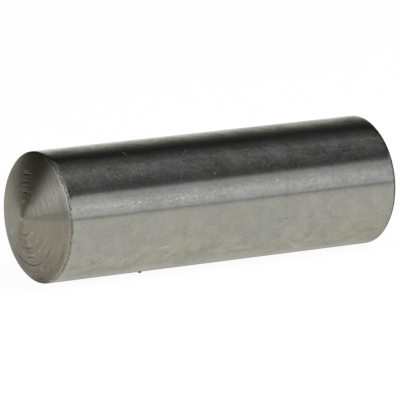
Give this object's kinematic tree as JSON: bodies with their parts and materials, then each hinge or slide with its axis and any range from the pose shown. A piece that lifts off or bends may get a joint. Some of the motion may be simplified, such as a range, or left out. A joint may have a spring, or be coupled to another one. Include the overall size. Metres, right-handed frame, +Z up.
{
  "type": "dowel pin",
  "caption": "Solid round steel dowel pin with a ground wall, crowned turned ends and a narrow broken edge, for locating two parts in reamed holes.",
  "frame": {"origin": "centre of the pin, halfway along its axis", "axes": "+X along the pin's axis, +Z up with the pin lying on its side"},
  "size_m": [0.032, 0.01, 0.01],
  "materials": {
    "ground_steel": "ground wall with a satin gloss, turned and slightly dull end faces, bare"
  },
  "bodies": {
    "root": {"dowel_pin": "ground_steel"}
  },
  "joints": []
}
